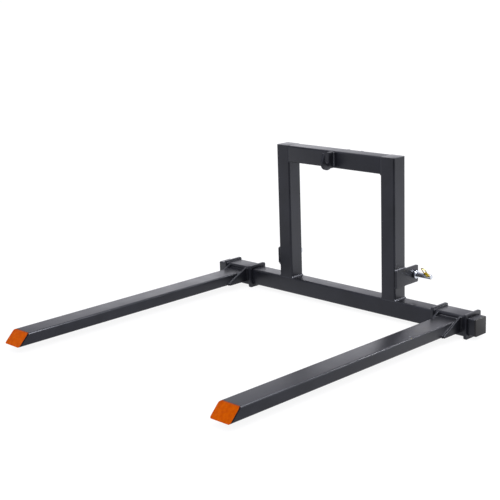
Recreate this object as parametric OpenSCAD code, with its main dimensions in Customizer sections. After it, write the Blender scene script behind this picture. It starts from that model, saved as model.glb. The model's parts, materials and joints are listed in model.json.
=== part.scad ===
// Pallet fork for a tractor's three-point linkage.
// A welded mast of square tube carries two forks, whose collars slide along the crossbar.
// X runs along the crossbar, the forks point to -Y and the tractor stands at +Y.
// Inside the modules Y counts from the crossbar's front face and Z from its underside.

/* [Mast] */
// Side of the square tube of the crossbar, the posts and the top beam
frame_tube = 75; // [66:1:84]
// Wall of that tube
frame_wall = 5; // [3:0.5:7]
// Outer corner radius of that tube
frame_corner = 8; // [7.5:0.5:12]
// Length of the crossbar over both end caps
crossbar_length = 1500; // [1460:10:1800]
// Width over the two posts
mast_width = 675; // [560:5:720]
// Height from the crossbar's underside to the top of the mast
mast_height = 690; // [670:5:800]
// Thickness of the plates that close the tops of the posts
post_cap_thick = 4; // [3:0.5:8]

/* [Crossbar end caps] */
// Thickness of the end cap's visible rim
cap_rim = 6; // [4:0.5:10]
// Bevel round the rim
cap_bevel = 2.5; // [1:0.5:3.5]
// Depth of the plug inside the tube
plug_depth = 24; // [12:1:40]
// Wall of the plug and of its ribs
plug_wall = 3; // [2:0.5:5]
// Gap between the plug and the tube
plug_play = 0.2; // [0.1:0.1:0.5]

/* [Lower link plates and hitch pins] */
// Thickness of the plates on the posts
plate_thick = 10; // [8:1:16]
// Height of the plates
plate_height = 75; // [60:1:90]
// How far the plates stand back from the posts' front
plate_set_back = 2.5; // [0:0.5:6]
// How far the plates reach behind the posts
plate_reach = 75; // [70:1:85]
// Corner radius of the plates
plate_corner = 6; // [2:0.5:12]
// Height of the hitch pins above the crossbar's underside
pin_height = 170; // [150:1:220]
// Distance of the hitch pins behind the posts
pin_behind = 52; // [42:1:55]
// Diameter of the hitch pin where the lower link's ball sits
pin_d = 22; // [20:0.5:24]
// Length of that seat, from the collar to the step before the lynch pin
pin_seat = 50; // [42:1:52]
// Diameter of the pin beyond the step
pin_end_d = 21.4; // [19:0.2:21.8]
// Length of the hitch pin outside its collar
pin_free = 77; // [76:1:95]
// Bevel at the pin's free end
pin_bevel = 2.5; // [1:0.5:4]
// Diameter of the hitch pin's collar
collar_d = 36; // [34:1:42]
// Thickness of the collar
collar_thick = 11; // [6:1:16]
// Diameter of the threaded stud through the plate
stud_d = 20; // [16:1:20]
// Thickness of the spring washer
washer_thick = 3; // [2:0.5:6]
// Height of the stud's nut
stud_nut_height = 10; // [8:1:20]
// Width across the flats of the stud's nut
stud_nut_flats = 30; // [28:1:36]

/* [Lynch pins] */
// Diameter of the lynch pin
lynch_d = 11; // [8:0.5:12]
// Distance of its hole from the hitch pin's end
lynch_from_end = 15; // [13:0.5:16]
// How far it reaches past the hitch pin
lynch_past = 13; // [10:1:20]
// Angle of its head above the level, towards the forks
lynch_tilt = 40; // [0:5:60]
// How far it is turned in its hole, about its own line
lynch_turn = 14; // [0:1:30]
// Width of its head
lynch_head_width = 16.5; // [15:0.5:18]
// Thickness of its head
lynch_head_thick = 12; // [11:0.5:16]
// Height of its head over the shoulder
lynch_head_height = 17.5; // [16:0.5:24]
// Wire of the ring
ring_wire = 4; // [3:0.5:5]
// Width of the ring between the middles of its wire
ring_width = 27; // [26:1:34]
// Length of the ring from its hinge to the middle of the far wire
ring_length = 40; // [36:1:50]
// How far the right ring is lifted from its lynch pin's line
right_ring_lift = 10; // [0:5:80]
// How far the left ring is lifted, out of sight behind the post
left_ring_lift = 75; // [0:5:80]

/* [Top link ears] */
// Thickness of the ears
ear_thick = 12; // [8:1:16]
// Clear width between the ears, for the top link's ball
ear_gap = 64; // [52:1:80]
// How far the ears reach behind the top beam
ear_reach = 84; // [72:1:94]
// How far the ears' tops lie below the top of the mast
ear_drop = 17; // [4:1:24]
// How far the ears reach below the middle of the hole
ear_below = 26; // [20:1:34]
// Radius of the ears' upper rear corners
ear_corner = 8; // [4:1:20]
// Radius of the ears' lower rear corners
ear_heel = 24; // [6:1:26]
// Diameter of the hole for the top link's pin
link_hole_d = 20; // [19.5:0.5:26]
// How far the middle of that hole lies below the top of the mast
link_drop = 60; // [50:1:66]
// Distance of that hole behind the top beam
link_behind = 50; // [30:1:58]

/* [Hook on the top beam] */
// Thickness of the hook plate
hook_thick = 12; // [8:1:16]
// Depth of the shank against the beam
hook_shank = 31; // [24:1:40]
// Width of the hook's mouth
hook_mouth = 24; // [16:1:30]
// Width of the hook's tip at the level of the bowl
hook_tip = 18; // [14:1:24]
// Radius of the bowl's outside
hook_bowl = 33; // [31:1:40]
// Height of the bowl's middle below the top of the mast
hook_drop = 45; // [42:1:60]

/* [Forks] */
// Width of the fork tube
fork_width = 100; // [80:1:120]
// Height of the fork tube
fork_height = 50; // [40:1:58]
// Wall of the fork tube
fork_wall = 5; // [3:0.5:7]
// Outer corner radius of the fork tube
fork_corner = 8; // [7.5:0.5:12]
// Reach of the forks from the crossbar's front face to the tip's lower edge
fork_reach = 1300; // [900:10:1500]
// Slope of the tip
tip_slope = 45; // [35:1:60]
// Thickness of the plate that closes the tip
tip_thick = 6; // [3:0.5:10]

/* [Fork collars] */
// Distance of the left collar from the crossbar's end
left_collar_in = 52.5; // [10:2.5:160]
// Distance of the right collar from the crossbar's end
right_collar_in = 37.5; // [10:2.5:160]
// Length of the collar over both flanges
collar_length = 175; // [150:1:184]
// Gap between the crossbar and the sleeve, on each side
sleeve_play = 1; // [0.5:0.1:2]
// Wall of the sleeve
sleeve_wall = 6; // [4:0.5:8]
// Outer corner radius of the sleeve
sleeve_corner = 10; // [9.5:0.5:14]
// Side of the square flanges
flange_side = 105; // [100:1:125]
// Thickness of the flanges
flange_thick = 12; // [8:1:16]
// Corner radius of the flanges
flange_corner = 8; // [3:0.5:14]
// Thickness of the gussets
gusset_thick = 10; // [6:1:12]
// Length of the gussets along the fork
gusset_length = 115; // [80:1:160]
// Height of the gussets' blunt front end
gusset_nose = 8; // [4:1:16]
// How far the gussets' tops lie below the top of the sleeve
gusset_drop = 2; // [1:0.5:12]

/* [Locking bolts] */
// Diameter of the locking bolt
bolt_d = 12; // [10:1:16]
// Width across the flats of the bolt's head and of its nut
bolt_flats = 19; // [18:1:24]
// Height of the bolt's head
bolt_head = 7.5; // [6:0.5:10]
// Height of the welded nut
weld_nut_height = 10; // [8:0.5:14]
// Length of thread left between the nut and the bolt's head
bolt_out = 6; // [2:1:12]
// Gap between the bolt's end and the crossbar
bolt_gap = 0.3; // [0.2:0.1:0.5]

/* [Hidden] */
$fn = 48;
bore_play = 0.25;
seat_gap = 0.3;
shoulder_thick = 2.5;
min_inner_radius = 1;
steel_black = [0.17, 0.175, 0.185];
plug_black = [0.1, 0.1, 0.105];
tip_orange = [0.86, 0.38, 0.05];
zinc_bright = [0.74, 0.75, 0.77];
zinc_yellow = [0.78, 0.66, 0.3];

post_x = mast_width / 2 - frame_tube / 2;
plate_face_x = mast_width / 2 + plate_thick;
pin_y = frame_tube + pin_behind;
pin_end_x = plate_face_x + collar_thick + pin_free;
lynch_x = pin_end_x - lynch_from_end;
head_seat = pin_end_d / 2 + seat_gap;
ring_seat = head_seat + shoulder_thick + lynch_head_height * 0.55;
ear_x = ear_gap / 2 + ear_thick / 2;
ear_top = mast_height - ear_drop;
link_height = mast_height - link_drop;
ear_low = link_height - ear_below;
sleeve_inside = frame_tube + 2 * sleeve_play;
sleeve_side = sleeve_inside + 2 * sleeve_wall;
sleeve_length = collar_length - 2 * flange_thick;
sleeve_front = -sleeve_play - sleeve_wall;
sleeve_back = frame_tube + sleeve_play + sleeve_wall;
fork_under = frame_tube / 2 - fork_height / 2;
rear_y = frame_tube + max(plate_reach, ear_reach);
ground = flange_side / 2 - frame_tube / 2;

// Puts what is drawn from the crossbar's front underside on the ground, centred in X and Y
module on_ground() {
    translate([0, (fork_reach - rear_y) / 2, ground]) children();
}

// side is 1 for the right and -1 for the left, which is its mirror image
module at_side(side) {
    on_ground() mirror([side < 0 ? 1 : 0, 0, 0]) children();
}

// Moves a fork drawn round X = 0 to its place on the crossbar
module at_fork(side) {
    collar_in = side < 0 ? left_collar_in : right_collar_in;
    at_side(side) translate([crossbar_length / 2 - collar_in - collar_length / 2, 0, 0])
        children();
}

module rounded_rect(w, h, r) {
    square([w - 2 * r, h], center = true);
    square([w, h - 2 * r], center = true);
    for (x = [-1, 1], y = [-1, 1]) {
        translate([x * (w / 2 - r), y * (h / 2 - r)]) circle(r = r);
    }
}

// Section of a rectangular tube
module tube_section(w, h, wall, r) {
    difference() {
        rounded_rect(w, h, r);
        rounded_rect(w - 2 * wall, h - 2 * wall, max(r - wall, min_inner_radius));
    }
}

// Turns an extrusion from Z to X: its drawing's x becomes Y and its y becomes Z
module along_x() {
    rotate([90, 0, 90]) children();
}

// Turns an extrusion from Z to -Y: its drawing's x stays X and its y becomes Z
module along_y() {
    rotate([90, 0, 0]) children();
}

// A plate that stands in the YZ plane, centred on X = x
module standing_plate(x, thick) {
    translate([x - thick / 2, 0, 0]) along_x() linear_extrude(thick) children();
}

module frame_section() {
    tube_section(frame_tube, frame_tube, frame_wall, frame_corner);
}

// Hexagon prism from z = 0 with its outer corners turned off at the top
module hexagon(flats, height) {
    intersection() {
        cylinder(d = flats / cos(30), h = height, $fn = 6);
        union() {
            cylinder(d = flats * 1.2, h = height * 0.85);
            translate([0, 0, height * 0.85])
                cylinder(d1 = flats * 1.2, d2 = flats * 0.96, h = height * 0.15);
        }
    }
}

module crossbar() {
    tube_length = crossbar_length - 2 * cap_rim;
    color(steel_black) on_ground()
        translate([-tube_length / 2, frame_tube / 2, frame_tube / 2])
            along_x() linear_extrude(tube_length) frame_section();
}

// Rim with bevelled edges outside the tube, and a ribbed hollow plug inside it
module end_cap(side) {
    rim_x = crossbar_length / 2 - cap_rim;
    plug_side = frame_tube - 2 * frame_wall - 2 * plug_play;
    plug_corner = max(frame_corner - frame_wall, min_inner_radius) + 1;
    color(plug_black) at_side(side) translate([rim_x, frame_tube / 2, frame_tube / 2]) {
        intersection() {
            along_x() linear_extrude(cap_rim) rounded_rect(frame_tube, frame_tube, frame_corner);
            rotate([90, 0, 0]) linear_extrude(frame_tube, center = true) rim_profile();
            linear_extrude(frame_tube, center = true) rim_profile();
        }
        translate([-plug_depth, 0, 0]) {
            along_x() linear_extrude(plug_depth) difference() {
                rounded_rect(plug_side, plug_side, plug_corner);
                rounded_rect(plug_side - 2 * plug_wall, plug_side - 2 * plug_wall, min_inner_radius);
            }
            for (turn = [0, 90]) {
                rotate([turn, 0, 0]) translate([0, -plug_wall / 2, -plug_side / 2 + plug_wall / 2])
                    cube([plug_depth, plug_wall, plug_side - plug_wall]);
            }
        }
    }
}

module rim_profile() {
    half = frame_tube / 2;
    polygon([
        [0, -half], [cap_rim - cap_bevel, -half], [cap_rim, -half + cap_bevel],
        [cap_rim, half - cap_bevel], [cap_rim - cap_bevel, half], [0, half]
    ]);
}

module post(side) {
    color(steel_black) at_side(side) translate([post_x, frame_tube / 2, frame_tube])
        linear_extrude(mast_height - frame_tube - post_cap_thick) frame_section();
}

module post_cap(side) {
    color(steel_black) at_side(side)
        translate([post_x, frame_tube / 2, mast_height - post_cap_thick])
            linear_extrude(post_cap_thick) rounded_rect(frame_tube, frame_tube, frame_corner);
}

module top_beam() {
    beam_length = mast_width - 2 * frame_tube;
    color(steel_black) on_ground()
        translate([-beam_length / 2, frame_tube / 2, mast_height - frame_tube / 2])
            along_x() linear_extrude(beam_length) frame_section();
}

module lower_plate(side) {
    plate_length = frame_tube + plate_reach - plate_set_back;
    color(steel_black) at_side(side) difference() {
        standing_plate(mast_width / 2 + plate_thick / 2, plate_thick)
            translate([plate_set_back + plate_length / 2, pin_height])
                rounded_rect(plate_length, plate_height, plate_corner);
        translate([mast_width / 2 - 1, pin_y, pin_height]) rotate([0, 90, 0])
            cylinder(d = stud_d + 2 * bore_play, h = plate_thick + 2);
    }
}

// Place and direction of the lynch pin: its head points along +Z
module at_lynch(side) {
    at_side(side) translate([lynch_x, pin_y, pin_height])
        rotate([90 - lynch_tilt, 0, 0]) rotate([0, 0, -lynch_turn]) children();
}

// Turned in one piece: threaded stud, collar and shank
module hitch_pin(side) {
    stud_r = stud_d / 2;
    collar_r = collar_d / 2;
    pin_r = pin_d / 2;
    end_r = pin_end_d / 2;
    stud_end = -plate_thick - washer_thick - stud_nut_height - 3;
    free_end = collar_thick + pin_free;
    edge = 1;
    color(zinc_bright) difference() {
        at_side(side) translate([plate_face_x, pin_y, pin_height]) rotate([0, 90, 0])
            rotate_extrude() polygon([
                [0, stud_end], [stud_r - edge, stud_end], [stud_r, stud_end + edge],
                [stud_r, 0], [collar_r - edge, 0], [collar_r, edge],
                [collar_r, collar_thick - edge], [collar_r - edge, collar_thick],
                [pin_r, collar_thick], [pin_r, collar_thick + pin_seat],
                [end_r, collar_thick + pin_seat + 0.5], [end_r, free_end - pin_bevel],
                [end_r - pin_bevel, free_end], [0, free_end]
            ]);
        at_lynch(side) cylinder(d = lynch_d + 1, h = pin_d + 2, center = true);
    }
}

// Spring washer with its slanting split
module pin_washer(side) {
    color(zinc_bright) at_side(side)
        translate([mast_width / 2 - washer_thick, pin_y, pin_height]) rotate([0, 90, 0])
            difference() {
                cylinder(d = stud_nut_flats + 3, h = washer_thick);
                translate([0, 0, -1]) cylinder(d = stud_d + 2 * bore_play, h = washer_thick + 2);
                translate([0, stud_d * 0.7, washer_thick / 2]) rotate([0, 30, 0])
                    cube([2, stud_d * 0.7, washer_thick * 3], center = true);
            }
}

module pin_nut(side) {
    color(zinc_bright) at_side(side)
        translate([mast_width / 2 - washer_thick, pin_y, pin_height]) rotate([0, -90, 0])
            difference() {
                hexagon(stud_nut_flats, stud_nut_height);
                translate([0, 0, -1])
                    cylinder(d = stud_d + 2 * bore_play, h = stud_nut_height + 2);
            }
}

// Round shank with a tapered end, a shoulder, and a flat head that holds the ring's hinge
module lynch_pin(side) {
    r = lynch_d / 2;
    end_z = -pin_end_d / 2 - lynch_past;
    head_z = head_seat + shoulder_thick;
    color(zinc_yellow) at_lynch(side) difference() {
        union() {
            rotate_extrude() polygon([
                [0, end_z], [r * 0.55, end_z], [r, end_z + r],
                [r, head_seat], [r * 1.5, head_seat], [r * 1.5, head_z], [0, head_z]
            ]);
            translate([0, 0, head_z + lynch_head_height / 2]) intersection() {
                along_y() linear_extrude(lynch_head_thick, center = true)
                    rounded_rect(lynch_head_width, lynch_head_height, 5);
                along_x() linear_extrude(lynch_head_width, center = true)
                    rounded_rect(lynch_head_thick, lynch_head_height, 4);
            }
        }
        translate([0, 0, ring_seat]) rotate([0, 90, 0])
            cylinder(d = ring_wire + 2 * bore_play, h = lynch_head_width + 2, center = true);
    }
}

// Wire ring: a straight hinge through the lynch pin's head, two legs and a round far end
module lynch_ring(side) {
    bend = 5;
    half = ring_width / 2;
    wire_r = ring_wire / 2;
    leg = ring_length - bend - half;
    lift = side > 0 ? right_ring_lift : left_ring_lift;
    color(zinc_yellow) at_lynch(side) translate([0, 0, ring_seat]) rotate([-lift, 0, 0]) {
        rotate([0, 90, 0]) cylinder(r = wire_r, h = ring_width - 2 * bend, center = true);
        for (x = [0, 1]) mirror([x, 0, 0]) {
            translate([half - bend, 0, bend]) rotate([90, 0, 0]) rotate([0, 0, -90])
                rotate_extrude(angle = 90) translate([bend, 0]) circle(r = wire_r);
            translate([half, 0, bend]) cylinder(r = wire_r, h = leg);
        }
        translate([0, 0, bend + leg]) rotate([90, 0, 0])
            rotate_extrude(angle = 180) translate([half, 0]) circle(r = wire_r);
    }
}

// Flame-cut plate hook: a shank on the beam, a round bowl and a tip that leans outwards
module beam_hook() {
    throat_r = hook_mouth / 2;
    bowl_x = hook_shank + throat_r;
    bowl_z = mast_height - hook_drop;
    heel_z = bowl_z - hook_bowl + 5;
    top_z = mast_height - 2;
    tip_x = hook_shank + hook_mouth;
    color(steel_black) on_ground() translate([-hook_thick / 2, 0, 0]) along_x() difference() {
        union() {
            translate([-hook_shank, heel_z, 0]) cube([hook_shank, top_z - heel_z, hook_thick]);
            translate([-bowl_x + 3, bowl_z, 0]) cylinder(r = hook_bowl, h = hook_thick, $fn = 96);
            linear_extrude(hook_thick) polygon([
                [-tip_x, bowl_z + 4], [-tip_x - hook_tip + 0.4, bowl_z + 4],
                [-tip_x - 6.4, top_z - 2], [-tip_x - 5, top_z - 0.5], [-tip_x - 3.5, top_z],
                [-tip_x - 1.5, top_z - 0.8], [-tip_x, top_z - 3]
            ]);
        }
        translate([-tip_x, bowl_z + 9, -1]) cube([hook_mouth, hook_drop, hook_thick + 2]);
        translate([-bowl_x, bowl_z + 9, -1])
            cylinder(r = throat_r, h = hook_thick + 2, $fn = 96);
    }
}

module ear_outline() {
    far = frame_tube + ear_reach;
    difference() {
        translate([frame_tube, ear_low]) square([ear_reach, ear_top - ear_low]);
        translate([far - ear_corner, ear_top - ear_corner]) square(ear_corner + 1);
        translate([far - ear_heel, ear_low - 1]) square([ear_heel + 1, ear_heel + 1]);
    }
    translate([far - ear_corner, ear_top - ear_corner]) circle(r = ear_corner);
    translate([far - ear_heel, ear_low + ear_heel]) circle(r = ear_heel);
}

module top_link_ear(side) {
    color(steel_black) at_side(side) difference() {
        standing_plate(ear_x, ear_thick) ear_outline();
        translate([ear_gap / 2 - 1, frame_tube + link_behind, link_height])
            rotate([0, 90, 0]) cylinder(d = link_hole_d, h = ear_thick + 2);
    }
}

// Square tube round the crossbar, with a hole in its back for the locking bolt
module sleeve(side) {
    inner_corner = sleeve_corner - sleeve_wall;
    color(steel_black) at_fork(side) difference() {
        translate([-sleeve_length / 2, frame_tube / 2, frame_tube / 2])
            along_x() linear_extrude(sleeve_length) difference() {
                rounded_rect(sleeve_side, sleeve_side, sleeve_corner);
                rounded_rect(sleeve_inside, sleeve_inside, inner_corner);
            }
        translate([0, sleeve_back + 1, frame_tube / 2]) along_y()
            cylinder(d = bolt_d + 1, h = sleeve_wall + 2);
    }
}

// end is -1 for the flange towards the mast and 1 for the outer one
module flange(side, end) {
    inner_corner = sleeve_corner - sleeve_wall;
    middle = end * (sleeve_length / 2 + flange_thick / 2);
    color(steel_black) at_fork(side)
        translate([middle - flange_thick / 2, frame_tube / 2, frame_tube / 2])
            along_x() linear_extrude(flange_thick) difference() {
                rounded_rect(flange_side, flange_side, flange_corner);
                rounded_rect(sleeve_inside, sleeve_inside, inner_corner);
            }
}

module fork_bar() {
    translate([0, sleeve_front, frame_tube / 2]) along_y()
        linear_extrude(fork_reach + sleeve_front) children();
}

module fork_tube(side) {
    color(steel_black) at_fork(side) difference() {
        fork_bar() tube_section(fork_width, fork_height, fork_wall, fork_corner);
        tip_cut(tip_thick);
    }
}

// Plate on the slanting end, with the outline of the tube
module tip_plate(side) {
    color(tip_orange) at_fork(side) difference() {
        intersection() {
            fork_bar() rounded_rect(fork_width, fork_height, fork_corner);
            tip_cut(tip_thick);
        }
        tip_cut(0);
    }
}

// Block in front of the slanting plane that lies depth behind the tip's face
module tip_cut(depth) {
    block = 3 * fork_height + 3 * tip_thick;
    translate([0, -fork_reach, fork_under]) rotate([tip_slope - 90, 0, 0])
        translate([-fork_width, -block + depth, -block])
            cube([2 * fork_width, block, 2 * block]);
}

// end is -1 for the gusset towards the mast and 1 for the outer one
module gusset(side, end) {
    front = sleeve_front - gusset_length;
    top = frame_tube / 2 + sleeve_side / 2 - gusset_drop;
    color(steel_black) at_fork(side)
        standing_plate(end * (fork_width / 2 + gusset_thick / 2), gusset_thick)
            polygon([
                [sleeve_front, fork_under], [sleeve_front, top],
                [front, fork_under + gusset_nose], [front, fork_under + 2],
                [front + 2, fork_under]
            ]);
}

module weld_nut(side) {
    color(steel_black) at_fork(side) translate([0, sleeve_back, frame_tube / 2])
        rotate([-90, 0, 0]) difference() {
            hexagon(bolt_flats, weld_nut_height);
            translate([0, 0, -1]) cylinder(d = bolt_d + 2 * bore_play, h = weld_nut_height + 2);
        }
}

module locking_bolt(side) {
    tip_y = frame_tube + bolt_gap;
    head_y = sleeve_back + weld_nut_height + bolt_out;
    bolt_r = bolt_d / 2;
    color(zinc_bright) at_fork(side) translate([0, 0, frame_tube / 2]) rotate([-90, 0, 0]) {
        rotate_extrude() polygon([
            [0, tip_y], [bolt_r - 1.5, tip_y], [bolt_r, tip_y + 1.5], [bolt_r, head_y], [0, head_y]
        ]);
        translate([0, 0, head_y]) hexagon(bolt_flats, bolt_head);
    }
}

crossbar();
end_cap(-1);  // end_cap_left
end_cap(1);  // end_cap_right
post(-1);  // post_left
post(1);  // post_right
post_cap(-1);  // post_cap_left
post_cap(1);  // post_cap_right
top_beam();
lower_plate(-1);  // lower_plate_left
lower_plate(1);  // lower_plate_right
hitch_pin(-1);  // hitch_pin_left
hitch_pin(1);  // hitch_pin_right
pin_washer(-1);  // pin_washer_left
pin_washer(1);  // pin_washer_right
pin_nut(-1);  // pin_nut_left
pin_nut(1);  // pin_nut_right
beam_hook();
top_link_ear(-1);  // top_link_ear_left
top_link_ear(1);  // top_link_ear_right
lynch_pin(-1);  // lynch_pin_left
lynch_pin(1);  // lynch_pin_right
lynch_ring(-1);  // lynch_ring_left
lynch_ring(1);  // lynch_ring_right
sleeve(-1);  // sleeve_left
sleeve(1);  // sleeve_right
flange(-1, -1);  // inner_flange_left
flange(1, -1);  // inner_flange_right
flange(-1, 1);  // outer_flange_left
flange(1, 1);  // outer_flange_right
fork_tube(-1);  // fork_tube_left
fork_tube(1);  // fork_tube_right
tip_plate(-1);  // tip_plate_left
tip_plate(1);  // tip_plate_right
gusset(-1, -1);  // inner_gusset_left
gusset(1, -1);  // inner_gusset_right
gusset(-1, 1);  // outer_gusset_left
gusset(1, 1);  // outer_gusset_right
weld_nut(-1);  // weld_nut_left
weld_nut(1);  // weld_nut_right
locking_bolt(-1);  // locking_bolt_left
locking_bolt(1);  // locking_bolt_right
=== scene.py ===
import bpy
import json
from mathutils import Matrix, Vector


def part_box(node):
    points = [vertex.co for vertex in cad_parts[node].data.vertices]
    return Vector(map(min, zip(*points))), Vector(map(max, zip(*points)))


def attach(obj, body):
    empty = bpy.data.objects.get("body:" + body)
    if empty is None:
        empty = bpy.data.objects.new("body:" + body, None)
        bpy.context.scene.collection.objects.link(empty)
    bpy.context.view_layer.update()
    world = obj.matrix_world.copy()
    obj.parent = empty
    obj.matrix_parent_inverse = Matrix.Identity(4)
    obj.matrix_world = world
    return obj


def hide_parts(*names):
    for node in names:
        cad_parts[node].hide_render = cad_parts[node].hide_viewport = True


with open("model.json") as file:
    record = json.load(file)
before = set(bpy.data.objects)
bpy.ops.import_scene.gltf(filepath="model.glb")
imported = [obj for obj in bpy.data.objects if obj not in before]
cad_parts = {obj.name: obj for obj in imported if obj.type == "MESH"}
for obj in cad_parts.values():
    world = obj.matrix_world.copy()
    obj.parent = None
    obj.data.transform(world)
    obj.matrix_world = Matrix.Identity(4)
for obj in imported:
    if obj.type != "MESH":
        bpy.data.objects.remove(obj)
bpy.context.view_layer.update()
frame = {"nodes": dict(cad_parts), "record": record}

import json
import math
import bmesh
import bpy
from mathutils import Matrix, Vector

nodes = frame["nodes"]
sides = {"right": 1, "left": -1}
print("frame loaded:", len(nodes), "nodes")


# Camera: where the photograph was taken from, found from the corners of the tubes

cameraSettings = {
    "place": (3.3533, -3.2174, 1.5429),
    "yaw": 45.73,
    "pitch": 14.09,
    "roll": -1.99,
    "focalLength": 84.86,
    "sensorWidth": 36.0,
    "farthest": 100.0,
}


def placeCamera(settings):
    yaw, pitch, roll = (math.radians(settings[name]) for name in ("yaw", "pitch", "roll"))
    back = Vector((math.sin(yaw) * math.cos(pitch), -math.cos(yaw) * math.cos(pitch), math.sin(pitch)))
    right = Vector((math.cos(yaw), math.sin(yaw), 0))
    up = back.cross(right)
    rolledRight = right * math.cos(roll) + up * math.sin(roll)
    rolledUp = up * math.cos(roll) - right * math.sin(roll)
    data = bpy.data.cameras.new("photoCamera")
    data.sensor_width = settings["sensorWidth"]
    data.lens = settings["focalLength"]
    data.clip_end = settings["farthest"]
    camera = bpy.data.objects.new("photoCamera", data)
    camera.matrix_world = Matrix.Translation(settings["place"]) @ Matrix(
        (rolledRight, rolledUp, back)).transposed().to_4x4()
    bpy.context.scene.collection.objects.link(camera)
    bpy.context.scene.camera = camera
    bpy.context.scene.view_settings.view_transform = "Standard"


placeCamera(cameraSettings)
print("camera placed")


# Materials

def linear(hexText):
    # sRGB hex to the linear colour that the shaders use, by the sRGB curve
    values = [int(hexText[i:i + 2], 16) / 255 for i in (1, 3, 5)]
    return [v / 12.92 if v <= 0.04045 else ((v + 0.055) / 1.055) ** 2.4 for v in values] + [1.0]


def addNode(tree, kind, inputs=None, **settings):
    # Adds a node, sets its properties, and fills or links its inputs
    node = tree.nodes.new(kind)
    for name, value in settings.items():
        setattr(node, name, value)
    for socket, value in (inputs or {}).items():
        if isinstance(value, bpy.types.NodeSocket):
            tree.links.new(value, node.inputs[socket])
        else:
            node.inputs[socket].default_value = value
    return node


def startMaterial(name):
    material = bpy.data.materials.new(name)
    material.use_nodes = True
    tree = material.node_tree
    tree.nodes.clear()
    return material, tree


def setRamp(node, stops):
    ramp = node.color_ramp
    while len(ramp.elements) < len(stops):
        ramp.elements.new(0.5)
    for element, (place, colour) in zip(ramp.elements, stops):
        element.position = place
        element.color = linear(colour)
    return node


mm = 1000.0  # noise scales are in turns per metre, so mm / size gives one grain of that size

coatSettings = {
    "dark": "#0d0e13",
    "light": "#14151b",
    "patchSize": 90,     # mm, slow change of tone over a tube
    "peelSize": 3.2,     # mm, powder coat flows into a fine orange peel, drawn coarser so it shows
    "peelHeight": 0.03,  # mm
    "roughLow": 0.31,
    "roughHigh": 0.39,
    "mirror": "#e2e5f1",  # the deep black's slightly blue reflection
    "ior": 1.42,
}


def makePowderCoat(name, settings):
    # Black powder coat on steel: a semi-gloss skin with orange peel, which turns pale at a low angle
    material, tree = startMaterial(name)
    where = addNode(tree, "ShaderNodeTexCoord").outputs["Object"]
    patches = addNode(tree, "ShaderNodeTexNoise",
                      {"Vector": where, "Scale": mm / settings["patchSize"], "Detail": 3.0})
    tone = setRamp(addNode(tree, "ShaderNodeValToRGB", {"Fac": patches.outputs["Fac"]}),
                   [(0.35, settings["dark"]), (0.65, settings["light"])])
    rough = addNode(tree, "ShaderNodeMapRange",
                    {"Value": patches.outputs["Fac"], "From Min": 0.3, "From Max": 0.7,
                     "To Min": settings["roughLow"], "To Max": settings["roughHigh"]})
    peel = addNode(tree, "ShaderNodeTexNoise",
                   {"Vector": where, "Scale": mm / settings["peelSize"], "Detail": 2.0, "Roughness": 0.45})
    bump = addNode(tree, "ShaderNodeBump",
                   {"Height": peel.outputs["Fac"], "Strength": 0.35, "Distance": settings["peelHeight"] / mm})
    shader = addNode(tree, "ShaderNodeBsdfPrincipled",
                     {"Base Color": tone.outputs["Color"], "Roughness": rough.outputs["Result"],
                      "Normal": bump.outputs["Normal"], "IOR": settings["ior"],
                      "Specular Tint": linear(settings["mirror"])})
    addNode(tree, "ShaderNodeOutputMaterial", {"Surface": shader.outputs["BSDF"]})
    return material


tipSettings = {
    "thin": "#b64800",
    "full": "#cb5a00",
    "sides": coatSettings["light"],
    "gleam": "#ff7a00",
    "patchSize": 16,          # mm, where the spray lies thinner or thicker
    "peelSize": 4,            # mm
    "peelHeight": 0.03,       # mm
    "sprayed": (0.55, 0.8),   # the orange fades in between these values of tipFacing
    "roughness": 0.5,
    "ior": 1.12,
}


def makeTipPaint(name, settings):
    # Orange satin paint on the tip plates' faces, thinner in patches; their thin sides stay black
    material, tree = startMaterial(name)
    where = addNode(tree, "ShaderNodeTexCoord").outputs["Object"]
    patches = addNode(tree, "ShaderNodeTexNoise",
                      {"Vector": where, "Scale": mm / settings["patchSize"], "Detail": 4.0})
    tone = setRamp(addNode(tree, "ShaderNodeValToRGB", {"Fac": patches.outputs["Fac"]}),
                   [(0.3, settings["thin"]), (0.7, settings["full"])])
    facing = addNode(tree, "ShaderNodeAttribute", attribute_name="tipFacing")
    low, high = settings["sprayed"]
    face = addNode(tree, "ShaderNodeMapRange",
                   {"Value": facing.outputs["Fac"], "From Min": low, "From Max": high})
    # the Mix node has its factor at 0, its colours at 6 and 7, and the mixed colour at output 2
    colour = addNode(tree, "ShaderNodeMix",
                     {0: face.outputs["Result"], 6: linear(settings["sides"]), 7: tone.outputs["Color"]},
                     data_type="RGBA")
    peel = addNode(tree, "ShaderNodeTexNoise",
                   {"Vector": where, "Scale": mm / settings["peelSize"], "Detail": 2.0})
    bump = addNode(tree, "ShaderNodeBump",
                   {"Height": peel.outputs["Fac"], "Strength": 0.3, "Distance": settings["peelHeight"] / mm})
    shader = addNode(tree, "ShaderNodeBsdfPrincipled",
                     {"Base Color": colour.outputs[2], "Roughness": settings["roughness"],
                      "IOR": settings["ior"], "Specular Tint": linear(settings["gleam"]),
                      "Normal": bump.outputs["Normal"]})
    addNode(tree, "ShaderNodeOutputMaterial", {"Surface": shader.outputs["BSDF"]})
    return material


plugSettings = {
    "dark": "#0a090c",
    "light": "#0f0e12",
    "grainSize": 1.2,     # mm, drawn coarser than the real grain so it shows
    "grainHeight": 0.05,  # mm
    "roughness": 0.46,
    "ior": 1.36,
}


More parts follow.
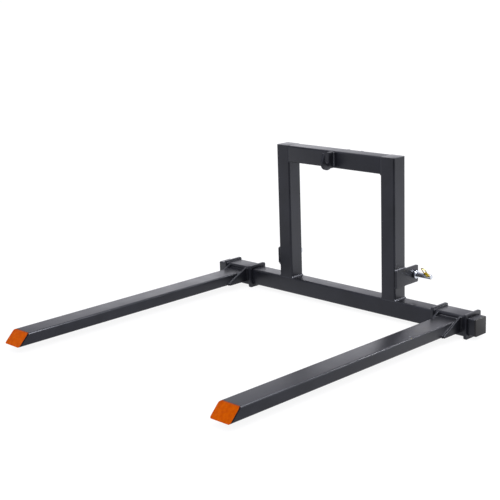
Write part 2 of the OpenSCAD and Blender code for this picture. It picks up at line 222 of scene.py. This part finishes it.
def makePlugPlastic(name, settings):
    # Black polyethylene, injection moulded with a fine spark-eroded grain: dull, slightly waxy
    material, tree = startMaterial(name)
    where = addNode(tree, "ShaderNodeTexCoord").outputs["Object"]
    grain = addNode(tree, "ShaderNodeTexNoise",
                    {"Vector": where, "Scale": mm / settings["grainSize"], "Detail": 3.0})
    bump = addNode(tree, "ShaderNodeBump",
                   {"Height": grain.outputs["Fac"], "Strength": 0.5,
                    "Distance": settings["grainHeight"] / mm})
    tone = setRamp(addNode(tree, "ShaderNodeValToRGB", {"Fac": grain.outputs["Fac"]}),
                   [(0.3, settings["dark"]), (0.7, settings["light"])])
    shader = addNode(tree, "ShaderNodeBsdfPrincipled",
                     {"Base Color": tone.outputs["Color"], "Roughness": settings["roughness"],
                      "IOR": settings["ior"], "Normal": bump.outputs["Normal"]})
    addNode(tree, "ShaderNodeOutputMaterial", {"Surface": shader.outputs["BSDF"]})
    return material


brightZincSettings = {
    "stops": [(0.3, "#989ca4"), (0.7, "#b8bcc3")],
    "patchSize": 18,      # mm
    "grainSize": 0.8,     # mm, drawn coarser than the real crystals so it shows
    "grainHeight": 0.01,  # mm
    "rough": 0.12,
    "roughChange": 0.06,
}
yellowZincSettings = {
    **brightZincSettings,
    # gold that drifts to green and rose where the film is thicker
    "stops": [(0.3, "#7d6c16"), (0.48, "#a18e24"), (0.6, "#917626"), (0.72, "#74781f")],
    "patchSize": 7,
    "rough": 0.24,
}


def makeZincPlate(name, settings):
    # Zinc plate over turned or drawn steel: metal with a soft sheen that changes in patches
    material, tree = startMaterial(name)
    where = addNode(tree, "ShaderNodeTexCoord").outputs["Object"]
    patches = addNode(tree, "ShaderNodeTexNoise",
                      {"Vector": where, "Scale": mm / settings["patchSize"], "Detail": 5.0, "Roughness": 0.6})
    tone = setRamp(addNode(tree, "ShaderNodeValToRGB", {"Fac": patches.outputs["Fac"]}), settings["stops"])
    fine = addNode(tree, "ShaderNodeTexNoise",
                   {"Vector": where, "Scale": mm / settings["grainSize"], "Detail": 2.0})
    rough, change = settings["rough"], settings["roughChange"]
    roughness = addNode(tree, "ShaderNodeMapRange",
                        {"Value": fine.outputs["Fac"], "From Min": 0.3, "From Max": 0.7,
                         "To Min": rough - change, "To Max": rough + change})
    bump = addNode(tree, "ShaderNodeBump",
                   {"Height": fine.outputs["Fac"], "Strength": 0.25,
                    "Distance": settings["grainHeight"] / mm})
    shader = addNode(tree, "ShaderNodeBsdfPrincipled",
                     {"Base Color": tone.outputs["Color"], "Metallic": 1.0,
                      "Roughness": roughness.outputs["Result"], "Normal": bump.outputs["Normal"]})
    addNode(tree, "ShaderNodeOutputMaterial", {"Surface": shader.outputs["BSDF"]})
    return material


# Weld beads take the same powder coat, duller on their ripples; the frame's beads are painted paler and
# glossier, a painted highlight, and the forks' reflect less, a painted shade
weldCoatSettings = {**coatSettings, "peelSize": 1.6, "roughLow": 0.4, "roughHigh": 0.48}
# Paler tone and stronger reflection on the frame's beads: a painted highlight
frameWeldHighlightCoatSettings = {**weldCoatSettings, "dark": "#17181d", "light": "#1f2026", "ior": 1.48}
# Lower IOR so the forks' beads reflect less and look darker: a painted shade
forkWeldShadedCoatSettings = {**weldCoatSettings, "ior": 1.3}

blackPowderCoat = makePowderCoat("blackPowderCoat", coatSettings)
frameWeldHighlightCoat = makePowderCoat("thinPowderCoatOverWeld", frameWeldHighlightCoatSettings)
forkWeldShadedCoat = makePowderCoat("powderCoatOverWeld", forkWeldShadedCoatSettings)
orangeTipPaint = makeTipPaint("orangeTipPaint", tipSettings)
plugPlastic = makePlugPlastic("blackPolyethylene", plugSettings)
brightZinc = makeZincPlate("brightZincPlate", brightZincSettings)
yellowZinc = makeZincPlate("yellowPassivatedZinc", yellowZincSettings)
slotMaterials = {"black_paint": blackPowderCoat, "orange_paint": orangeTipPaint,
                 "black_plastic": plugPlastic, "bright_zinc": brightZinc, "yellow_zinc": yellowZinc}
slotOf = {part["node"]: part["material_slot"] for part in frame["record"]["subparts"]}
for nodeName, nodeObject in nodes.items():
    nodeObject.data.materials.clear()
    nodeObject.data.materials.append(slotMaterials[slotOf[nodeName]])
print("materials assigned")


# Plates and turned pieces with the small broken edges that grinding and paint leave

edgeSettings = {
    "flameCut": 0.0012,  # width of the broken edge, in m, for each way a piece is made
    "ground": 0.0016,
    "sawn": 0.0006,
    "turned": 0.0004,
    "moulded": 0.0008,
    "sharpAngle": 28.0,  # degrees, as the other angles
    "steps": 2,
    "roundness": 0.6,
    "flatAngle": 0.4,    # triangles of one face are joined below this angle
    "mergeGap": 2e-6,
    "tipSlope": 45.0,    # of the forks' slanting ends
}

edgeKinds = {
    "flameCut": ["lower_plate", "beam_hook", "top_link_ear", "inner_flange", "outer_flange", "tip_plate"],
    "ground": ["inner_gusset", "outer_gusset"],
    "sawn": ["post_cap", "fork_tube", "crossbar", "top_beam", "sleeve"],
    "turned": ["hitch_pin", "pin_nut", "weld_nut", "locking_bolt", "pin_washer", "lynch_pin"],
    "moulded": ["end_cap"],
}


def camel(nodeName):
    first, *rest = nodeName.split("_")
    return first + "".join(word.capitalize() for word in rest)


def bodyOf(nodeName):
    for body, members in frame["record"]["behaviour"]["bodies"].items():
        if nodeName in members:
            return body


def markTipFace(data, slope):
    # 1 on the slanting face, which is sprayed orange, and 0 or little more on the sides of the plate
    turn = math.radians(slope)
    outwards = Vector((0.0, -math.sin(turn), math.cos(turn)))
    facing = [max(0.0, polygon.normal.dot(outwards)) for polygon in data.polygons]
    data.attributes.new("tipFacing", "FLOAT", "FACE").data.foreach_set("value", facing)


def breakEdges(nodeName, width, settings):
    # A copy of the solid with its sharp edges rounded a little, which stands for the solid
    source = nodes[nodeName]
    mesh = bmesh.new()
    mesh.from_mesh(source.data)
    bmesh.ops.remove_doubles(mesh, verts=mesh.verts, dist=settings["mergeGap"])
    bmesh.ops.dissolve_limit(mesh, angle_limit=math.radians(settings["flatAngle"]),
                             verts=mesh.verts, edges=mesh.edges)
    bmesh.ops.recalc_face_normals(mesh, faces=mesh.faces)
    limit = math.radians(settings["sharpAngle"])
    sharp = [edge for edge in mesh.edges if len(edge.link_faces) == 2 and edge.calc_face_angle() > limit]
    bmesh.ops.bevel(mesh, geom=sharp, offset=width, segments=settings["steps"],
                    profile=settings["roundness"], affect="EDGES", clamp_overlap=True)
    data = bpy.data.meshes.new(camel(nodeName))
    mesh.to_mesh(data)
    mesh.free()
    for polygon in data.polygons:
        polygon.use_smooth = True
    data.set_sharp_from_angle(angle=limit)
    piece = bpy.data.objects.new(camel(nodeName), data)
    data.materials.append(slotMaterials[slotOf[nodeName]])
    if nodeName.startswith("tip_plate"):
        markTipFace(data, settings["tipSlope"])
    bpy.context.scene.collection.objects.link(piece)
    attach(piece, bodyOf(nodeName))
    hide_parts(nodeName)


for nodeName in sorted(nodes):
    for kind, names in edgeKinds.items():
        if any(nodeName.startswith(name) for name in names):
            breakEdges(nodeName, edgeSettings[kind], edgeSettings)
print("edges broken")


# Weld beads: each path is a row of points, and a geometry node tree lays the ripples along it

weldSettings = {
    "ripplePitch": 0.0026,   # m, as the other lengths
    "rippleLength": 0.0042,  # half the length of one ripple, so neighbours overlap
    "rippleChange": 0.06,
    "flatness": 1.5,         # half width over height, which gives the bead a broad face
    "rippleSides": 16,
    "rippleRings": 8,
    "seed": 4,
    "seedStep": 3,           # from the frame's seed to each fork's
}


def makeWeldTree(settings):
    tree = bpy.data.node_groups.new("weldBead", "GeometryNodeTree")
    face = tree.interface
    face.new_socket("Seams", in_out="INPUT", socket_type="NodeSocketGeometry")
    for name, key in (("Ripple Pitch", "ripplePitch"), ("Ripple Length", "rippleLength"),
                      ("Ripple Change", "rippleChange"), ("Flatness", "flatness")):
        size = face.new_socket(name, in_out="INPUT", socket_type="NodeSocketFloat")
        size.default_value = settings[key]
    seed = face.new_socket("Seed", in_out="INPUT", socket_type="NodeSocketInt")
    seed.default_value = settings["seed"]
    face.new_socket("Coat", in_out="INPUT", socket_type="NodeSocketMaterial")
    face.new_socket("Welds", in_out="OUTPUT", socket_type="NodeSocketGeometry")
    given = addNode(tree, "NodeGroupInput").outputs
    height = addNode(tree, "GeometryNodeInputNamedAttribute", {"Name": "beadHeight"}, data_type="FLOAT")
    facing = addNode(tree, "GeometryNodeInputNamedAttribute", {"Name": "beadFacing"},
                     data_type="FLOAT_VECTOR")
    seams = addNode(tree, "GeometryNodeMeshToCurve", {"Mesh": given["Seams"]})
    line = addNode(tree, "GeometryNodeResampleCurve",
                   {"Curve": seams.outputs["Curve"], "Length": given["Ripple Pitch"]}, mode="LENGTH")
    tangent = addNode(tree, "GeometryNodeInputTangent")
    turn = addNode(tree, "FunctionNodeAlignRotationToVector", {"Vector": tangent.outputs["Tangent"]},
                   axis="Z")
    turned = addNode(tree, "FunctionNodeAlignRotationToVector",
                     {"Rotation": turn.outputs["Rotation"], "Vector": facing.outputs["Attribute"]},
                     axis="X", pivot_axis="Z")
    low = addNode(tree, "ShaderNodeMath", {0: 1.0, 1: given["Ripple Change"]}, operation="SUBTRACT")
    high = addNode(tree, "ShaderNodeMath", {0: 1.0, 1: given["Ripple Change"]}, operation="ADD")
    change = addNode(tree, "FunctionNodeRandomValue",
                     {2: low.outputs[0], 3: high.outputs[0], "Seed": given["Seed"]}, data_type="FLOAT")
    out = addNode(tree, "ShaderNodeMath", {0: height.outputs["Attribute"], 1: change.outputs[1]},
                  operation="MULTIPLY")
    across = addNode(tree, "ShaderNodeMath", {0: out.outputs[0], 1: given["Flatness"]}, operation="MULTIPLY")
    scale = addNode(tree, "ShaderNodeCombineXYZ",
                    {"X": out.outputs[0], "Y": across.outputs[0], "Z": given["Ripple Length"]})
    ripple = addNode(tree, "GeometryNodeMeshUVSphere",
                     {"Segments": settings["rippleSides"], "Rings": settings["rippleRings"], "Radius": 1.0})
    ripples = addNode(tree, "GeometryNodeInstanceOnPoints",
                      {"Points": line.outputs["Curve"], "Instance": ripple.outputs["Mesh"],
                       "Rotation": turned.outputs["Rotation"], "Scale": scale.outputs["Vector"]})
    real = addNode(tree, "GeometryNodeRealizeInstances", {"Geometry": ripples.outputs["Instances"]})
    smooth = addNode(tree, "GeometryNodeSetShadeSmooth", {"Geometry": real.outputs["Geometry"]})
    painted = addNode(tree, "GeometryNodeSetMaterial",
                      {"Geometry": smooth.outputs["Geometry"], "Material": given["Coat"]})
    addNode(tree, "NodeGroupOutput", {"Welds": painted.outputs["Geometry"]})
    return tree


def runTree(name, carrier, tree, inputs, body):
    # Runs a geometry node tree on the carrier, keeps the result as a plain mesh and lets it ride
    modifier = carrier.modifiers.new(tree.name, "NODES")
    modifier.node_group = tree
    for item in tree.interface.items_tree:
        if item.item_type == "SOCKET" and item.in_out == "INPUT" and item.name in inputs:
            modifier[item.identifier] = inputs[item.name]
    bpy.context.view_layer.update()
    evaluated = carrier.evaluated_get(bpy.context.evaluated_depsgraph_get())
    data = bpy.data.meshes.new_from_object(evaluated)
    carrier.modifiers.remove(modifier)
    bpy.data.objects.remove(carrier)
    piece = bpy.data.objects.new(name, data)
    bpy.context.scene.collection.objects.link(piece)
    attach(piece, body)
    print(name, len(data.polygons), "faces")


def seam(height, *stops):
    # One bead: its height over the root of the joint, and points with the directions it faces
    points, facings = zip(*stops)
    return height, [Vector(point) for point in points], [Vector(facing).normalized() for facing in facings]


def straight(height, facing, *points):
    return seam(height, *((point, facing) for point in points))


def seamCarrier(name, seams):
    # A mesh of loose edges: one chain for each bead, with its height and direction on the points
    data = bpy.data.meshes.new(name)
    points, edges, heights, facings = [], [], [], []
    for height, path, directions in seams:
        start = len(points)
        points += path
        edges += [(start + i, start + i + 1) for i in range(len(path) - 1)]
        heights += [height] * len(path)
        facings += [part for direction in directions for part in direction]
    data.from_pydata(points, edges, [])
    data.attributes.new("beadHeight", "FLOAT", "POINT").data.foreach_set("value", heights)
    data.attributes.new("beadFacing", "FLOAT_VECTOR", "POINT").data.foreach_set("vector", facings)
    carrier = bpy.data.objects.new(name, data)
    bpy.context.scene.collection.objects.link(carrier)
    return carrier


frameBeads = {
    # height of each bead, in m
    "base": 0.0052,
    "plate": 0.0046,
    "groove": 0.0038,
    "beam": 0.0044,
    "ear": 0.0038,
    "hook": 0.0034,
    # how far its ends and its root lie from the edges and faces of the pieces that it joins
    "barRound": 0.009,        # the crossbar's top is flat from here on
    "barEnd": 0.004,          # a bead across the crossbar ends here, on the rounded edge,
    "barFall": 0.0014,        # and this much lower
    "grooveDepth": 0.0041,    # so deep that a bead in a groove ends flush with the tubes
    "grooveEnd": 0.004,
    "baseGrooveDrop": 0.0025,
    "beamGrooveIn": 0.0026,
    "beamEnd": 0.006,
    "plateStart": 0.003,
    "plateBend": 0.008,
    "plateEnd": 0.006,
    "plateBackIn": 0.002,
    "uprightStart": 0.008,
    "hookEnd": 0.005,
    "earEnd": 0.006,
}


def postSeams(side, sign, bar, beam, sizes):
    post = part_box("post_" + side)
    inner, outer = sorted((post[0].x, post[1].x), key=abs)
    front, back, top = bar[0].y, bar[1].y, bar[1].z
    flat, end, low = sizes["barRound"], sizes["barEnd"], top - sizes["barFall"]
    seams = []
    for x, out in ((inner, -sign), (outer, sign)):  # across the crossbar, and down over its rounded edges
        seams.append(straight(sizes["base"], (out, 0, 1), (x, front + end, low), (x, front + flat, top),
                              (x, back - flat, top), (x, back - end, low)))
    short, baseZ = sign * sizes["grooveEnd"], top - sizes["baseGrooveDrop"]
    beamX = inner + sign * sizes["beamGrooveIn"]
    for y, out in ((front, -1), (back, 1)):  # flush with the fronts and backs of the tubes
        deep = y - out * sizes["grooveDepth"]
        seams.append(straight(sizes["groove"], (0, out, 0),
                              (inner + short, deep, baseZ), (outer - short, deep, baseZ)))
        seams.append(straight(sizes["groove"], (0, out, 0),
                              (beamX, deep, beam[0].z + sizes["grooveEnd"]),
                              (beamX, deep, beam[1].z - sizes["beamEnd"])))
    seams.append(straight(sizes["beam"], (-sign, 0, -1),
                          (inner, front + sizes["beamEnd"], beam[0].z),
                          (inner, back - sizes["beamEnd"], beam[0].z)))
    return seams


def plateSeams(side, sign, bar, sizes):
    plate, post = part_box("lower_plate_" + side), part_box("post_" + side)
    outer = max(post[0].x, post[1].x, key=abs)
    start, back = plate[0].y, bar[1].y
    seams = []
    for z, out in ((plate[0].z, -1), (plate[1].z, 1)):  # from the plate's front corners to the post's back
        seams.append(seam(sizes["plate"],
                          ((outer, start + sizes["plateStart"], z), (sign, -0.5, out)),
                          ((outer, start + sizes["plateBend"], z), (sign, 0, out)),
                          ((outer, back - sizes["plateEnd"], z), (sign, 0, out))))
    x, y = outer - sign * sizes["plateBackIn"], back - sizes["plateBackIn"]  # up the post's rear corner
    seams.append(straight(sizes["plate"], (-sign, 1, 0), (x, y, plate[0].z + sizes["plateEnd"]),
                          (x, y, plate[1].z - sizes["plateEnd"])))
    return seams


def uprightSeams(box, y, facing, low, high, height):
    # Both sides of a plate that stands on the front or back of the top beam
    return [straight(height, (out, facing, 0), (x, y, low), (x, y, high))
            for x, out in ((box[0].x, -1), (box[1].x, 1))]


def frameSeams(sizes):
    bar, beam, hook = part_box("crossbar"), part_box("top_beam"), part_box("beam_hook")
    low = beam[0].z + sizes["uprightStart"]
    seams = uprightSeams(hook, beam[0].y, -1, low, hook[1].z - sizes["hookEnd"], sizes["hook"])
    for side, sign in sides.items():
        seams += postSeams(side, sign, bar, beam, sizes) + plateSeams(side, sign, bar, sizes)
        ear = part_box("top_link_ear_" + side)
        seams += uprightSeams(ear, beam[1].y, 1, low, ear[1].z - sizes["earEnd"], sizes["ear"])
    return seams


def loopSeam(height, x, out, middle, halfY, halfZ, corner, steps=5):
    # Once round a sleeve of rounded square tube, in the corner between it and a flange
    stops = []
    for turn in range(4):
        cornerY = (1, -1, -1, 1)[turn] * (halfY - corner)
        cornerZ = (1, 1, -1, -1)[turn] * (halfZ - corner)
        for step in range(steps + 1):
            angle = math.pi / 2 * (turn + step / steps)
            y, z = math.cos(angle), math.sin(angle)
            point = (x, middle[0] + cornerY + corner * y, middle[1] + cornerZ + corner * z)
            stops.append((point, (out, y, z)))
    return seam(height, *stops, stops[0])


forkBeads = {
    # height of each bead, in m
    "fork": 0.0045,
    "gusset": 0.004,
    "slope": 0.0018,
    "groove": 0.0032,
    "sleeve": 0.0032,
    "nut": 0.0017,
    # how far its ends and its root lie from the edges and faces of the pieces that it joins
    "forkEnd": 0.006,
    "gussetStart": 0.003,
    "gussetEnd": 0.007,
    "nose": 0.008,          # height of the gusset's blunt front end
    "aboveFork": 0.002,
    "grooveIn": 0.0024,
    "grooveDrop": 0.0032,
    "grooveStart": 0.004,
    "grooveEnd": 0.002,     # beyond the place where the gusset's slope passes the fork's top
    "slopeStart": 0.004,    # before that place,
    "slopeDrop": 0.0035,    # and this much below the top
    "noseBack": 0.001,
    "noseDrop": 0.002,
    "sleeveCorner": 0.010,
    "nutStep": 30,          # degrees
}


def gussetSeams(gusset, sleeve, fork, sizes):
    middleX = (sleeve[0].x + sleeve[1].x) / 2
    near, far = sorted((gusset[0].x, gusset[1].x), key=lambda x: abs(x - middleX))
    out = 1 if far > middleX else -1
    front, top = sleeve[0].y, fork[1].z
    noseY, noseZ, high = gusset[0].y, gusset[0].z + sizes["nose"], gusset[1].z
    meetY = noseY + (top - noseZ) / (high - noseZ) * (front - noseY)
    slope = Vector((0, noseZ - high, front - noseY)).normalized()
    start, end = gusset[0].z + sizes["gussetStart"], high - sizes["gussetEnd"]
    grooveX, grooveZ = near - out * sizes["grooveIn"], top - sizes["grooveDrop"]
    return [
        straight(sizes["gusset"], (out, -1, 0), (far, front, start), (far, front, end)),
        straight(sizes["slope"], (-out, -1, 0), (near, front, top + sizes["aboveFork"]), (near, front, end)),
        # in the groove between the gusset and the fork's rounded top corner
        straight(sizes["groove"], (-0.5 * out, 0, 1), (grooveX, front - sizes["grooveStart"], grooveZ),
                 (grooveX, meetY + sizes["grooveEnd"], grooveZ)),
        # down the gusset's slope and round its nose, against the fork's side
        seam(sizes["slope"],
             ((near, meetY - sizes["slopeStart"], top - sizes["slopeDrop"]), (out, slope.y, slope.z)),
             ((near, noseY + sizes["noseBack"], noseZ), (out, slope.y, slope.z)),
             ((near, noseY, noseZ - sizes["noseDrop"]), (out, -1, 0)),
             ((near, noseY, start), (out, -1, 0))),
    ]


def forkSeams(side, sizes):
    sleeve, fork, nut = (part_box(name + side) for name in ("sleeve_", "fork_tube_", "weld_nut_"))
    front = sleeve[0].y
    middle = ((sleeve[0].y + sleeve[1].y) / 2, (sleeve[0].z + sleeve[1].z) / 2)
    left, right = fork[0].x + sizes["forkEnd"], fork[1].x - sizes["forkEnd"]
    seams = [straight(sizes["fork"], (0, -1, out), (left, front, z), (right, front, z))
             for z, out in ((fork[0].z, -1), (fork[1].z, 1))]
    for name in ("inner_gusset_", "outer_gusset_"):
        seams += gussetSeams(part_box(name + side), sleeve, fork, sizes)
    halfY, halfZ = middle[0] - front, sleeve[1].z - middle[1]
    for x, out in ((sleeve[0].x, 1), (sleeve[1].x, -1)):
        seams.append(loopSeam(sizes["sleeve"], x, out, middle, halfY, halfZ, sizes["sleeveCorner"]))
    radius = (nut[1].x - nut[0].x) / 2
    nutX, nutZ = (nut[0].x + nut[1].x) / 2, (nut[0].z + nut[1].z) / 2
    stops = []
    for angle in range(0, 361, sizes["nutStep"]):
        x, z = math.cos(math.radians(angle)), math.sin(math.radians(angle))
        stops.append(((nutX + radius * x, nut[0].y, nutZ + radius * z), (x, 1, z)))
    seams.append(seam(sizes["nut"], *stops))
    return seams


weldTree = makeWeldTree(weldSettings)
runTree("frameWelds", seamCarrier("frameSeams", frameSeams(frameBeads)), weldTree,
        {"Seed": weldSettings["seed"], "Coat": frameWeldHighlightCoat}, "frame")
for side, sign in sides.items():
    sideSeed = weldSettings["seed"] + sign * weldSettings["seedStep"]
    runTree("forkWelds" + side.capitalize(), seamCarrier("forkSeams", forkSeams(side, forkBeads)), weldTree,
            {"Seed": sideSeed, "Coat": forkWeldShadedCoat}, "fork_" + side)
print("welds laid")


# Threads on the locking bolts and on the ends of the hitch pins' studs

threadSettings = {
    "locking_bolt": {"radius": 0.006, "pitch": 0.00175, "length": 0.0055},
    "hitch_pin": {"radius": 0.010, "pitch": 0.0025, "length": 0.003},
    "sunk": 0.001,       # each thread starts this far inside its nut
    "ridgeIn": 0.25,     # of the pitch, from the stud's surface to the middle of the ridge
    "ridgeSize": 0.42,   # of the pitch, radius of the three-cornered ridge
    "stepsPerTurn": 40,
}


def makeThreadTree(material, settings):
    # A helix swept with a three-cornered profile, standing on the X or Y axis
    tree = bpy.data.node_groups.new("threadTurns", "GeometryNodeTree")
    face = tree.interface
    face.new_socket("Carrier", in_out="INPUT", socket_type="NodeSocketGeometry")
    for name in ("Radius", "Pitch", "Turns"):
        face.new_socket(name, in_out="INPUT", socket_type="NodeSocketFloat")
    for name in ("Place", "Turn"):
        face.new_socket(name, in_out="INPUT", socket_type="NodeSocketVector")
    face.new_socket("Thread", in_out="OUTPUT", socket_type="NodeSocketGeometry")
    given = addNode(tree, "NodeGroupInput").outputs
    length = addNode(tree, "ShaderNodeMath", {0: given["Pitch"], 1: given["Turns"]}, operation="MULTIPLY")
    depth = addNode(tree, "ShaderNodeMath", {0: given["Pitch"], 1: settings["ridgeIn"]},
                    operation="MULTIPLY")
    helixRadius = addNode(tree, "ShaderNodeMath", {0: given["Radius"], 1: depth.outputs[0]},
                          operation="SUBTRACT")
    helix = addNode(tree, "GeometryNodeCurveSpiral",
                    {"Resolution": settings["stepsPerTurn"], "Rotations": given["Turns"],
                     "Start Radius": helixRadius.outputs[0], "End Radius": helixRadius.outputs[0],
                     "Height": length.outputs[0]})
    ridge = addNode(tree, "ShaderNodeMath", {0: given["Pitch"], 1: settings["ridgeSize"]},
                    operation="MULTIPLY")
    profile = addNode(tree, "GeometryNodeCurvePrimitiveCircle",
                      {"Resolution": 3, "Radius": ridge.outputs[0]})
    swept = addNode(tree, "GeometryNodeCurveToMesh",
                    {"Curve": helix.outputs["Curve"], "Profile Curve": profile.outputs["Curve"],
                     "Fill Caps": True})
    placed = addNode(tree, "GeometryNodeTransform",
                     {"Geometry": swept.outputs["Mesh"], "Translation": given["Place"],
                      "Rotation": given["Turn"]})
    real = addNode(tree, "GeometryNodeRealizeInstances", {"Geometry": placed.outputs["Geometry"]})
    painted = addNode(tree, "GeometryNodeSetMaterial",
                      {"Geometry": real.outputs["Geometry"], "Material": material})
    addNode(tree, "NodeGroupOutput", {"Thread": painted.outputs["Geometry"]})
    return tree


def threadPiece(name, tree, settings, start, turn, body):
    carrier = bpy.data.objects.new(name + "Carrier", bpy.data.meshes.new(name + "Carrier"))
    bpy.context.scene.collection.objects.link(carrier)
    runTree(name, carrier, tree,
            {"Radius": settings["radius"], "Pitch": settings["pitch"],
             "Turns": settings["length"] / settings["pitch"], "Place": start, "Turn": turn},
            body)


threadTree = makeThreadTree(brightZinc, threadSettings)
sunk = threadSettings["sunk"]
for side, sign in sides.items():
    bolt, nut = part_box("locking_bolt_" + side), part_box("weld_nut_" + side)
    start = ((bolt[0].x + bolt[1].x) / 2, nut[1].y - sunk, (bolt[0].z + bolt[1].z) / 2)
    threadPiece("boltThread" + side.capitalize(), threadTree, threadSettings["locking_bolt"], start,
                (-math.pi / 2, 0.0, 0.0), "fork_" + side)
    pin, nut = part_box("hitch_pin_" + side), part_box("pin_nut_" + side)
    inner = min(nut[0].x, nut[1].x, key=abs)
    start = (inner + sign * sunk, (pin[0].y + pin[1].y) / 2, (pin[0].z + pin[1].z) / 2)
    threadPiece("studThread" + side.capitalize(), threadTree, threadSettings["hitch_pin"], start,
                (0.0, -sign * math.pi / 2, 0.0), "frame")
print("threads cut")


# Floor, light and sky

floorSettings = {
    "tone": "#707070",
    "glow": 0.88,
    "half": 30.0,     # half the side of the floor
    "below": 0.0005,  # just under the forks, so no faces coincide
}


def makeLitAcrylic(name, settings):
    # Matt white acrylic that is mostly lit from below, as for cut-out pictures, so shadows stay faint
    material, tree = startMaterial(name)
    shader = addNode(tree, "ShaderNodeBsdfPrincipled",
                     {"Base Color": linear(settings["tone"]), "Roughness": 0.9, "Specular IOR Level": 0.1,
                      "Emission Color": linear("#ffffff"), "Emission Strength": settings["glow"]})
    addNode(tree, "ShaderNodeOutputMaterial", {"Surface": shader.outputs["BSDF"]})
    return material


def makeFloor(settings):
    data = bpy.data.meshes.new("studioFloor")
    half = settings["half"]
    data.from_pydata([(-half, -half, 0), (half, -half, 0), (half, half, 0), (-half, half, 0)], [],
                     [(0, 1, 2, 3)])
    data.materials.append(makeLitAcrylic("litAcrylicFloor", settings))
    floor = bpy.data.objects.new("studioFloor", data)
    floor.location.z = -settings["below"]
    bpy.context.scene.collection.objects.link(floor)


# Corners of each card: on the floor round the camera, standing behind it, and hung up on the left
blackCardSettings = {
    "near": [(2.98, -6.26, 0.004), (6.33, -2.82, 0.004), (2.5, 0.92, 0.004), (-0.85, -2.52, 0.004)],
    "behind": [(2.98, -6.26, 0.0), (6.33, -2.82, 0.0), (6.33, -2.82, 3.5), (2.98, -6.26, 3.5)],
    "left": [(-3.2, -1.8, 1.2), (-3.2, 0.4, 1.2), (-3.2, 0.4, 3.2), (-3.2, -1.8, 3.2)],
}


def makeBlackCards(settings):
    # Black card round the object that only its reflections show: dark lines on rounded corners
    data = bpy.data.meshes.new("blackCards")
    points = [corner for card in settings.values() for corner in card]
    data.from_pydata(points, [], [range(4 * i, 4 * i + 4) for i in range(len(settings))])
    material, tree = startMaterial("blackCardboard")
    shader = addNode(tree, "ShaderNodeBsdfDiffuse", {"Color": linear("#050505")})
    addNode(tree, "ShaderNodeOutputMaterial", {"Surface": shader.outputs["BSDF"]})
    data.materials.append(material)
    cards = bpy.data.objects.new("blackCards", data)
    cards.visible_camera = False
    cards.visible_diffuse = False
    cards.visible_shadow = False
    bpy.context.scene.collection.objects.link(cards)


# Only rightWall lights faces; the others show in reflections alone, as bright lines on edges and welds
lightSettings = {
    "rearStrip": {"place": (1.4, 4.1, 3.3), "aim": (0, 0.4, 0.1), "size": (0.9, 0.6),
                  "power": 90, "diffuse": False},
    "topStrip": {"place": (1.9, 0.0, 3.9), "aim": (1.5, 0.0, 0.0), "size": (1.3, 2.4),
                 "power": 900, "diffuse": False},
    "rightWall": {"place": (4.2, 3.6, 1.6), "aim": (0, 0.3, 0.2), "size": (3.0, 3.0),
                  "power": 36, "diffuse": True},
    "backCard": {"place": (-4.3, 4.2, 1.35), "aim": (0, 0.5, 0.3), "size": (4.0, 2.7),
                 "power": 18, "diffuse": False},
    "floorCard": {"place": (1.2, 1.6, 0.01), "aim": (1.2, 1.6, 3.0), "size": (2.4, 1.7),
                  "power": 9, "diffuse": False},
}


def addLight(name, settings):
    data = bpy.data.lights.new(name, "AREA")
    data.shape = "RECTANGLE"
    data.size, data.size_y = settings["size"]
    data.energy = settings["power"]
    lamp = bpy.data.objects.new(name, data)
    lamp.location = settings["place"]
    lamp.visible_diffuse = settings["diffuse"]
    lamp.visible_camera = False
    towards = Vector(settings["aim"]) - Vector(settings["place"])
    lamp.rotation_euler = towards.to_track_quat("-Z", "Y").to_euler()
    bpy.context.scene.collection.objects.link(lamp)


skySettings = {
    "colour": (0.955, 0.95, 1.04, 1.0),  # linear, a cool white
    "strength": 1.08,
}


def makeSky(settings):
    world = bpy.data.worlds.new("studioSky")
    world.use_nodes = True
    tree = world.node_tree
    tree.nodes.clear()
    background = addNode(tree, "ShaderNodeBackground",
                         {"Color": settings["colour"], "Strength": settings["strength"]})
    addNode(tree, "ShaderNodeOutputWorld", {"Surface": background.outputs["Background"]})
    bpy.context.scene.world = world


makeFloor(floorSettings)
makeBlackCards(blackCardSettings)
for name, settings in lightSettings.items():
    addLight(name, settings)
makeSky(skySettings)
print("studio lit")
